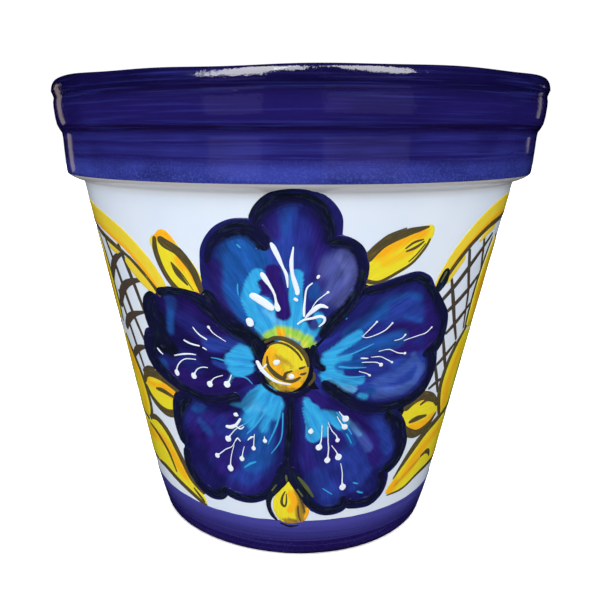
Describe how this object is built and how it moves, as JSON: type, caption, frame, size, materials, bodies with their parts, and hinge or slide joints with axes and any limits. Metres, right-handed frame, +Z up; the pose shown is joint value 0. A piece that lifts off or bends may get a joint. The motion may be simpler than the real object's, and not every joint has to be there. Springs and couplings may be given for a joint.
{
  "type": "flowerpot",
  "caption": "Tapered round flowerpot with a stepped collar and rolled lip, a drain hole, and a glazed, hand-painted wall of flowers and leaves.",
  "frame": {"origin": "centre of the foot, on the surface that the pot stands on", "axes": "+Z up along the pot's axis; -Y through the middle of the front flower; +X to the right of that flower as it is seen"},
  "size_m": [0.25, 0.25, 0.23],
  "materials": {
    "terracotta": "bare matt earthenware",
    "white_glaze": "glossy opaque tin-white glaze",
    "cobalt_glaze": "glossy brushed cobalt glaze",
    "blue_paint": "glossy brushed blues from cyan to navy",
    "dark_paint": "glossy near-black brush line",
    "yellow_paint": "glossy yellow shading into orange",
    "olive_paint": "glossy olive-brown brush line"
  },
  "bodies": {
    "root": {"clay_pot": "terracotta", "wall_glaze": "white_glaze", "rim_glaze": "cobalt_glaze", "foot_glaze": "cobalt_glaze", "front_petal_top": "blue_paint", "front_petal_left": "blue_paint", "front_petal_right": "blue_paint", "front_petal_lower_left": "blue_paint", "front_petal_lower_right": "blue_paint", "front_outline": "dark_paint", "front_eye": "yellow_paint", "front_leaves": "yellow_paint", "back_petal_top": "blue_paint", "back_petal_left": "blue_paint", "back_petal_right": "blue_paint", "back_petal_lower_left": "blue_paint", "back_petal_lower_right": "blue_paint", "back_outline": "dark_paint", "back_eye": "yellow_paint", "back_leaves": "yellow_paint", "right_arch": "yellow_paint", "right_lattice": "olive_paint", "right_palmette": "yellow_paint", "left_arch": "yellow_paint", "left_lattice": "olive_paint", "left_palmette": "yellow_paint"}
  },
  "joints": []
}
